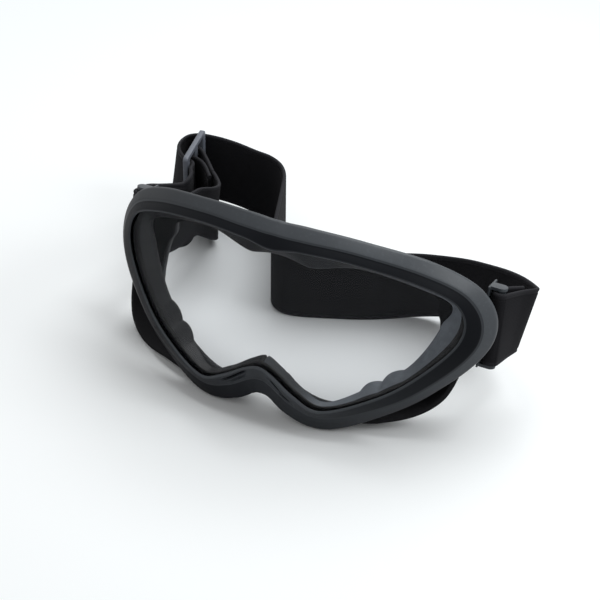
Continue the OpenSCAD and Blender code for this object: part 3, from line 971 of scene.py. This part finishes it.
        # The lip's front edge gets little painted shade, the corner behind it a full painted
        # shadow, and the sloped face's edges half.
        rim = self.ring_piece("front_rim_moulding", [
            (0, 0.5), (0, self.lip_t), (lap, self.lip_t), (lap, self.rim_depth),
            (w - 1.2, self.rim_depth), (w, band + 0.8), (w - 0.2, band - 0.6),
            (face + 0.6, ridge + 0.1), (face, ridge - 0.3), *slope], radius=0.5, steps=3,
            painted_shades=[0.2, 0.5, 1, *[band_painted_shade] * 5, 0.5 * painted_shading, *[painted_shading] * 19, 0.5 * painted_shading])
        seat_on(rim, Finish.RIM, "front_rim")

    def build_lens(self) -> None:
        """Lens: a flat sheet of rings inside its outline, bent and thickened."""
        outline = self.edge + self.lip_lap * self.out
        rings, hub = 16, np.array([0.0, 3.0])
        shares = [1 - (1 - i / rings) ** 1.3 for i in range(1, rings + 1)]
        flat = np.concatenate([[hub]] + [hub + k * (outline - hub) for k in shares])
        m = len(outline)
        faces = [(0, 1 + i, 1 + (i + 1) % m) for i in range(m)]
        faces += [(1 + a * m + i, 1 + (a + 1) * m + i, 1 + (a + 1) * m + (i + 1) % m,
                   1 + a * m + (i + 1) % m) for a in range(rings - 1) for i in range(m)]
        verts = np.stack([flat[:, 0], np.zeros(len(flat)), flat[:, 1]], -1)
        lens = bent_sheet(new_object("lens_blank", verts, faces), "bent_lens", self.radius,
                          self.lip_t + self.fit, self.lens_t)
        seat_on(lens, Finish.LENS, "lens")

    def bumps(self) -> Array:
        """Scallops of the seat's lower edges and its mould seam over the nose."""
        t = np.minimum(self.knot, 2 * len(self.window) - 2 - self.knot) - self.scallop_knot
        wave = np.abs(np.sin(2 * math.pi * t)) ** 0.8
        out = np.where((t > 0) & (t < 1), self.scallop * wave, 0.0)
        out[[-1, 0, 1]] = -0.5 * self.seam, -self.seam, -0.5 * self.seam
        return out

    def build_seat(self) -> None:
        """Lens seat: the ring behind the lens with its scalloped opening, with painted shade."""
        inset = np.maximum(self.ring(self.seat_w), self.seat_least) + self.bumps()
        outer = self.lip_lap + self.lens_room - self.fit
        groove = self.lip_t + 2 * self.fit + self.lens_t + self.seat_sunk
        rear, root = self.ring(self.seat_d), np.maximum(-0.4, 0.6 - inset)
        brink, line = rear - 1.8, self.ring(self.line)
        # From the groove to share line of the way, the seat's front carries a painted shadow line
        # along the lens's edge.
        front = [(-0.1 + k * (0.1 - 0.5 * inset), groove + k * (0.54 * (brink - groove)))
                 for k in (0, line, line + 0.06, 1)]
        # Painted shade: darker over the left side, the nose and the brow; the mould seam's
        # station over the nose is fully dark.
        painted_shading = np.maximum(np.where(self.left, 0.97, 0), self.ring(self.seat_painted_shade))
        painted_shading[0] = 1
        seat = self.ring_piece("lens_seat_ring", [
            *front, (-0.92 * inset, brink), (-inset, rear - 1), (-inset, rear), (root, rear),
            (root + 0.4, self.rim_depth), (outer, self.rim_depth), (outer, groove)],
            radius=0.5, steps=3, painted_shades=[1, 1, *[painted_shading] * 8, 1])
        seat_on(seat, Finish.SEAT, "lens_seat")

    def wall(self, back: Array) -> Array:
        """Outer face of the skirt at a depth."""
        front = (back - self.root) / (self.bend - self.root)
        rear = (back - self.bend) / (self.rear - self.bend)
        return np.where(back < self.bend, self.root_out + (self.bend_out - self.root_out) * front,
                        self.bend_out + (self.rear_out - self.bend_out) * rear)

    def build_skirt(self) -> None:
        """Face skirt: a soft wall that swells behind the rim, with a lip for the foam."""
        lip = self.rear - self.skirt_lip
        skirt = self.ring_piece("face_skirt_wall", [
            (self.root_out - self.skirt_t, self.root), (self.bend_out - self.skirt_t, self.bend),
            (self.wall(lip) - self.skirt_t, lip), (self.inner_out, lip),
            (self.inner_out, self.rear), (self.rear_out, self.rear),
            (self.bend_out, self.bend), (self.root_out, self.root)], radius=1.1, steps=5)
        seat_on(skirt, Finish.SKIRT, "face_skirt")

    def build_face_foam(self) -> None:
        """Face foam: a crowned pad on the skirt's lip."""
        lo, hi = self.inner_out + self.foam_inset, self.rear_out - self.foam_inset
        d, t = self.rear + 2 * self.fit, self.foam_t
        foam = self.ring_piece("face_foam_pad", [
            (lo, d), (lo - 0.4, d + 0.4 * t), (lo + 0.8, d + 0.85 * t), ((lo + hi) / 2, d + t),
            (hi - 0.8, d + 0.85 * t), (hi + 0.4, d + 0.4 * t), (hi, d)],
            radius=1.2, steps=4)
        pad(foam, Finish.FACE_FOAM, "face_foam", depth=0.16, grain=1.4, seed=3.0)

    def build_vent_foam(self, node: str, first: float, last: float) -> None:
        """Strip of vent foam behind the skirt's wall, thinner towards its ends.

        Args:
            node: the solid that it stands for.
            first: knot where it starts.
            last: knot where it ends.
        """
        rows = np.arange(round(first * self.n), round(last * self.n) + 1)
        m, inner = self.bend, self.skirt_t + self.fit
        half = np.minimum(self.vent_half, m - self.root - self.gap)
        lo, hi = m - half, m + half
        past = (np.abs(np.arange(len(self.edge)) - (rows[0] + rows[-1]) / 2)
                - len(rows) / 2 + 0.5)
        deep = inner + self.vent_t * np.clip(-past / self.vent_taper, 0.25, 1)
        corners = [(self.wall(lo) - deep, lo), (self.wall(hi) - deep, hi),
                   (self.wall(hi) - inner, hi), (self.wall(m) - inner, m),
                   (self.wall(lo) - inner, lo)]
        section = rounded([(a[rows], b[rows]) for a, b in corners], radius=0.5, steps=3)
        strip = lofted(node + "_strip", self.surface(section[..., 0], section[..., 1], rows),
                       False)
        pad(strip, Finish.VENT_FOAM, node, depth=0.1, grain=0.9, seed=8.0)

    def build(self) -> None:
        """Builds every piece of the goggles but the strap and its brackets."""
        self.build_rim()
        self.build_lens()
        self.build_seat()
        self.build_skirt()
        self.build_face_foam()
        for vent in self.vents:
            self.build_vent_foam(*vent)


# Strap

def row(x: float, y: float, z: float) -> Array:
    """Upright row of the webbing: its lower and upper edge."""
    return np.array([[x, y, z], [x, y, z + WEB_WIDTH]])


@dataclass
class Ribbon:
    """Webbing's section: two flat faces, a groove along each selvage and round edges.

    Attributes:
        groove_at: how far each groove lies from its edge.
        sewn_in: how far stitches lie from the edges.
        proud: how far a thread's middle lies off the face.
    """

    thickness: float = 1.8
    groove: float = 0.28
    groove_at: float = 2.3
    groove_half: float = 0.45
    columns: int = 26
    sewn_in: float = 3.2
    proud: float = 0.12

    def section(self) -> Array:
        """Points (across, off the middle) once round the section."""
        r, w, shoulder = self.thickness / 2, WEB_WIDTH, self.groove_at + 1.2

        def round_edge(middle: float, first: float, last: float) -> Array:
            """Points of a round edge between two angles, without its ends."""
            turn = np.radians(np.linspace(first, last, 7)[1:-1])
            return np.stack([middle + r * np.cos(turn), r * np.sin(turn)], -1)

        across = np.concatenate([np.linspace(r, shoulder, 6)[:-1],
                                 np.linspace(shoulder, w - shoulder, self.columns)[:-1],
                                 np.linspace(w - shoulder, w - r, 6)])
        near = np.minimum(across, w - across)
        off = r - self.groove * np.exp(-((near - self.groove_at) / self.groove_half) ** 2)
        return np.concatenate([
            np.stack([across, off], -1), round_edge(w - r, 90, -90),
            np.stack([across[::-1], -off[::-1]], -1), round_edge(r, -90, -270)])

    def sideways(self, rows: Array) -> Array:
        """Unit direction across the webbing's face at each row, level."""
        along = unit(np.gradient(rows.mean(1)[:, :2], axis=0))
        return np.stack([-along[:, 1], along[:, 0], np.zeros(len(rows))], -1)

    def skin(self, name: str, rows: Array, first: int, last: int) -> Piece:
        """Webbing through rows first to last of a route.

        Args:
            name: the piece's name.
            rows: the whole route, (rows, lower and upper edge, 3).
            first: first row.
            last: last row.

        Returns:
            The object, with its own UV map in real lengths.
        """
        steps = np.linalg.norm(np.diff(rows.mean(1), axis=0), axis=1)
        arc = np.concatenate([[0], np.cumsum(steps)])
        across, off = self.section().T
        pick = slice(first, last + 1)
        low, up = rows[pick, 0], rows[pick, 1]
        points = (low[None] + (up - low)[None] * (across / WEB_WIDTH)[:, None, None]
                  + self.sideways(rows)[pick][None] * off[:, None, None])
        uvs = np.stack(np.broadcast_arrays(arc[pick][None], across[:, None]), -1)
        return lofted(name, STANCE.shifted(points), False, uvs)

    def stitched(self, name: str, rows: Array, pair: tuple[int, int], body: Body,
                 node: str) -> None:
        """Box of stitches on the webbing's face, with a cross in it.

        Args:
            name: the piece's name.
            rows: the route.
            pair: rows of the box's two upright sides.
            body: what it moves with.
            node: the solid that it stands for.
        """
        across, margin = self.sideways(rows), self.sewn_in / WEB_WIDTH
        down, high = margin, 1 - margin

        def place(i: int, share: float) -> Array:
            """Point on the face at a row and a share of its height."""
            low, up = rows[i]
            return low + (up - low) * share - across[i] * (self.thickness / 2 + self.proud)

        a, b = pair
        slanted = np.linspace(a, b, 9).round().astype(int)
        climb = np.linspace(down, high, len(slanted))
        lines = [[place(i, s) for s in np.linspace(down, high, 16)] for i in pair]
        lines += [[place(i, s) for i in range(a, b + 1)] for s in (down, high)]
        lines += [[place(i, s) for i, s in zip(slanted, way)] for way in (climb, climb[::-1])]
        edges, start = [], 0
        for line in lines:
            edges += [(start + i, start + i + 1) for i in range(len(line) - 1)]
            start += len(line)
        mesh = bpy.data.meshes.new(name)
        verts = STANCE.shifted(np.array([p for line in lines for p in line]))
        mesh.from_pydata((verts * MM).tolist(), edges, [])
        made = stitches(linked(name + "_lines", mesh), name, pitch=2.6, thread=0.24, dash=2.2)
        seat_on(made, Finish.THREAD, node, body=body)


@dataclass
class Buckle:
    """The sliding buckle and the webbing sewn round its middle bar.

    Attributes:
        mid: the buckle's middle in plan, about the goggles' middle.
        turn: how far it is turned, in degrees.
        lift: how high the webbing in it lies over the table.
        sewn: knots of the sewn end in plan, about the buckle's middle.
    """

    mid: tuple[float, float] = (-101.2, 124.2)
    turn: float = 11.1
    lift: float = 3.0
    sewn: tuple[tuple[float, float], ...] = (
        (14.3, -15.2), (10.6, -9), (7.1, -3.3), (3.7, 1.8), (0.9, 4.3), (-1.4, 4), (-2.5, 1.8),
        (-2.5, -1.8), (-1.4, -4), (0.9, -4.7), (3.8, -6), (7.2, -8.8), (10.2, -12.8),
        (12.2, -16.4), (14.4, -20.2))
    rounding: float = 0.55
    n: int = 12

    def at(self, x: float, y: float) -> tuple[float, float]:
        """Plan place, about the goggles' middle, of a place on the buckle."""
        a = math.radians(self.turn)
        return (self.mid[0] + x * math.cos(a) - y * math.sin(a),
                self.mid[1] + x * math.sin(a) + y * math.cos(a))

    def build(self) -> None:
        """Builds the buckle, its sewn webbing and the stitches."""
        frame = softened_copy("left_slider", "left_slider_buckle", self.rounding)
        seat_on(frame, Finish.GREY, "left_slider", body=Body.SLIDER)
        plan, cloth = curve(self.sewn, self.n, False), Ribbon()
        rows = np.array([row(*self.at(*p), self.lift) for p in plan])
        last = len(rows) - 1
        sewn = cloth.skin("sewn_end_webbing", rows, 0, last)
        seat_on(sewn, Finish.WEB, "left_sewn_end", body=Body.SLIDER)
        cloth.stitched("sewn_end_stitches", rows, (last - 20, last - 6), Body.SLIDER,
                       "left_end_stitches")


@dataclass
class Strap:
    """The whole strap as one route, cut where it changes what it moves with.

    Attributes:
        bar_x: how far each bracket's bar lies from the middle.
        bar_y: how far the bars lie behind the lens's front.
        bar_low: height of the webbing's lower edge on a bar, from the eyes.
        bar_top: height of its upper edge there.
        wrap: radius of the webbing's middle round a bar.
        turn_knots: knots of the weave before the middle of its turn.
    """

    bar_x: float = 89.2
    bar_y: float = 49.996
    bar_low: float = -16.0
    bar_top: float = 19.0
    wrap: float = 3.2
    buckle: Buckle = field(default_factory=Buckle)
    cloth: Ribbon = field(default_factory=Ribbon)
    turn_knots: int = 7
    n: int = 12

    def bar_row(self, side: int, angle: float) -> Array:
        """Row of the loop round a bar at an angle."""
        a = math.radians(angle)
        x, y = side * self.bar_x + self.wrap * math.cos(a), self.bar_y + self.wrap * math.sin(a)
        return STANCE.leaned(np.array([[x, y, self.bar_low], [x, y, self.bar_top]]))

    def knots(self) -> list[list[Array]]:
        """Knots of each stretch of the route, from the right end to the left end."""
        lift, at = self.buckle.lift, self.buckle.at

        def by_bar(side: int, low: Sequence[float], up: Sequence[float]) -> Array:
            """Row from places about a bar in plan, with heights over the table."""
            return np.array([low, up], float) + [side * self.bar_x, self.bar_y, 0]

        def by_slider(x: float, y: float, z: float,
                      across: Sequence[float] = (0, 0, WEB_WIDTH)) -> Array:
            """Row from its lower edge about the buckle's middle and the way to its upper."""
            low = np.array([self.buckle.mid[0] + x, self.buckle.mid[1] + y, z])
            return np.array([low, low + across])

        right_loop = [by_bar(1, (1.5, 7, 25.4), (6.4, 14, 59.2)),
                      by_bar(1, (-0.5, 2.9, 25.4), (2.4, 10.4, 60)),
                      *(self.bar_row(1, a) for a in range(-218, -14, 29)),
                      by_bar(1, (4, 5, 25), (7.2, 9.8, 60))]
        right = [by_bar(1, (5.2, 12.1, 23.5), (11.8, 15, 59.2)),
                 by_bar(1, (4.4, 14.7, 22), (10.7, 17.8, 58.4)),
                 by_bar(1, (-1.2, 23, 18.4), (2.5, 25.6, 55.4)),
                 *np.array([[[78, 82, 14.2], [82, 82.5, 51.8]],
                            [[67, 90, 10.2], [70.5, 87.5, 48.4]],
                            [[57, 96, 6.8], [60, 92, 44.8]], [[46, 98.5, 3.4], [48, 95, 41]],
                            [[33, 96, 0.6], [34, 94.5, 38.4]]])]
        rear = [row(x, y, 0) for x, y in (
            (20, 88.5), (10, 83), (-3, 77.5), (-16, 72.5), (-25, 71.2), (-32, 75), (-36, 83),
            (-42, 99), (-48, 116), (-53, 129), (-59, 137), (-67, 141.5))]
        weave = [by_slider(25.2, 18.8, 0), by_slider(15.2, 18.4, 0.6 * lift),
                 by_slider(6.4, 17.4, lift)]
        weave += [np.array([[*at(x - bulge, y), lift], [*at(x, y), lift + WEB_WIDTH]])
                  for x, y, bulge in (
                      (1.6, 16.9, 0.4), (-3, 16.6, 1.5), (-7.2, 14.2, 4), (-9.2, 9.5, 5.6),
                      (-9.3, 4, 5), (-7.4, -1, 2.6), (-4.7, -4.8, 0.6), (-2.5, -6.8, 0),
                      (0, -8.1, 0), (1.9, -9.6, 0), (2.8, -11.6, 0), (3, -15.5, 0),
                      (4.6, -19.5, 0), (4.8, -25.5, 0))]
        left = [row(*at(3.2, -30), lift), by_bar(-1, (-4, 36, 7.4), (-4, 37, 45)),
                by_bar(-1, (-4, 23, 14), (-4, 26, 51)),
                by_bar(-1, (-3.4, 8, 21.8), (-3.4, 13.6, 58)),
                *(self.bar_row(-1, a) for a in range(180, 361, 30)),
                by_bar(-1, (3.2, 7, 22.6), (3.2, 11.2, 58.4))]
        back = [by_bar(-1, (4.6, 18.5, 18.5), (7, 20.5, 54.5)),
                by_bar(-1, (4.4, 30, 15.5), (11.3, 26, 50)),
                by_slider(16.4, -31.2, 13, (8.6, -8.5, 35.5)),
                by_slider(17, -26, 9.8, (10.8, -6, 35.7)),
                by_slider(20, -21.7, 6.2, (7, -2.5, 36.4)),
                by_slider(21, -17, 3.6, (1.2, -0.3, 37.6)), row(*at(14.5, -15.5), lift)]
        return [right_loop, right, rear, weave, left, back]

    def build_between(self, name: str, rows: Array, span: tuple[int, int], node: str,
                      ends: Sequence[tuple[float, float]]) -> None:
        """Webbing that runs from one body to the other; it rides on neither.

        Args:
            name: the piece's name.
            rows: the route.
            span: its first and last row.
            node: the solid that it stands for.
            ends: plan places, about the goggles' middle, of its start and its end; not used.
        """
        piece = stands_for(self.cloth.skin(name, rows, *span), Finish.WEB, node)
        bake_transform(piece)

    def build(self) -> None:
        """Builds the strap's webbing and the stitches of its right end."""
        stretches = self.knots()
        rows = curve(np.array([k for s in stretches for k in s]), self.n, False)
        rows[..., 2] = np.maximum(rows[..., 2], 0)
        start = np.cumsum([0] + [len(s) * self.n for s in stretches])
        mid = start[3] + self.turn_knots * self.n
        rear = self.cloth.skin("rear_webbing", rows, 0, start[3])
        seat_on(rear, Finish.WEB, "right_bar_loop", "strap_right_run", "strap_rear_run")
        left = self.cloth.skin("left_loop_webbing", rows, start[4], start[5])
        seat_on(left, Finish.WEB, "left_bar_loop")
        self.build_between("far_weave_webbing", rows, (start[3], mid), "strap_weave",
                           ((-80, 143), (-103, 141)))
        self.build_between("near_weave_webbing", rows, (mid, start[4]), "strap_weave",
                           (self.buckle.at(2, -11), self.buckle.at(3.2, -30)))
        self.build_between("return_webbing", rows, (start[5], len(rows) - 1),
                           "left_return_run", ((-71, 88), (-84, 110)))
        self.cloth.stitched("right_loop_box_stitches", rows, (2, self.n + 2), Body.GOGGLES,
                            "right_loop_stitches")


@dataclass
class Brackets:
    """The two strap brackets."""

    rounding: float = 0.5

    def build(self) -> None:
        """Rounds the brackets' edges and dresses them."""
        for node in ("left_strap_bracket", "right_strap_bracket"):
            piece = softened_copy(node, node + "_moulding", self.rounding)
            seat_on(piece, Finish.RIM, node)


# Studio

@dataclass(frozen=True)
class Lamp:
    """Square soft light aimed at the goggles, in metres and watts."""

    name: str
    place: Point
    size: float
    power: float
    colour: Colour = (0.97, 0.99, 1.0)

    def build(self) -> None:
        """Hangs the light."""
        data = bpy.data.lights.new(self.name, "AREA")
        data.shape, data.size = "SQUARE", self.size
        data.energy, data.color = self.power, self.colour
        obj = linked(self.name, data)
        obj.location = self.place
        down = Vector((0, 0, 0.05)) - Vector(self.place)
        obj.rotation_euler = down.to_track_quat("-Z", "Y").to_euler()


@dataclass
class Studio:
    """Camera, pale table and soft light, in metres."""

    eye: Point = (0.297392, -0.640835, 0.527921)
    ahead: Point = (-0.346839, 0.730765, -0.587950)
    right: Point = (0.899512, 0.436727, 0.012176)
    lens: float = 111.04
    table: float = 3.0
    sky: float = 0.44
    lamps: tuple[Lamp, ...] = (Lamp("overhead", (0.05, 0.55, 1.2), 1.2, 13.5),
                               Lamp("window", (0.6, 0.1, 0.45), 0.35, 1.5))

    def build_camera(self) -> None:
        """Sets the camera where the photograph was taken from."""
        data = bpy.data.cameras.new("camera")
        data.lens, data.sensor_width = self.lens, 36.0
        data.clip_start, data.clip_end = 0.01, 50.0
        ahead, right = Vector(self.ahead).normalized(), Vector(self.right).normalized()
        turn = Matrix((right, right.cross(ahead), -ahead)).transposed()
        obj = linked("camera", data)
        obj.matrix_world = Matrix.Translation(Vector(self.eye)) @ turn.to_4x4()
        bpy.context.scene.camera = obj

    def build_table(self) -> None:
        """Lays the table."""
        h = self.table / MM
        corners = np.array([[-h, -h, 0], [h, -h, 0], [h, h, 0], [-h, h, 0]])
        floor = new_object("table_top", corners, [(0, 1, 2, 3)])
        dressed(floor, Finish.TABLE)

    def build_world(self) -> None:
        """Makes an even world that the camera and gloss see as white."""
        world = bpy.data.worlds.new("soft room")
        bpy.context.scene.world = world
        world.use_nodes = True
        world.node_tree.nodes.clear()
        t = Tree(world.node_tree)
        camera, through, glossy = (t.wire("ShaderNodeLightPath", output=f"Is {ray} Ray")
                                   for ray in ("Camera", "Transmission", "Glossy"))
        seen = t.maths("MAXIMUM", camera, t.maths("MAXIMUM", through, glossy))
        strength = self.sky + seen * (1 - self.sky)
        sky = t.wire("ShaderNodeBackground", {"Color": (1.0, 1.0, 1.0, 1), "Strength": strength})
        t.node("ShaderNodeOutputWorld", {"Surface": sky})

    def build(self) -> None:
        """Sets the whole studio and the colour management."""
        self.build_camera()
        self.build_table()
        self.build_world()
        for lamp in self.lamps:
            lamp.build()
        bpy.context.scene.view_settings.view_transform = "Standard"


def main() -> None:
    """Builds the goggles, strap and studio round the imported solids."""
    logging.basicConfig(level=logging.INFO, format="%(name)s: %(message)s")
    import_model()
    Studio().build()
    LensFrame().build()
    Brackets().build()
    strap = Strap()
    strap.build()
    strap.buckle.build()


if __name__ == "__main__":
    main()
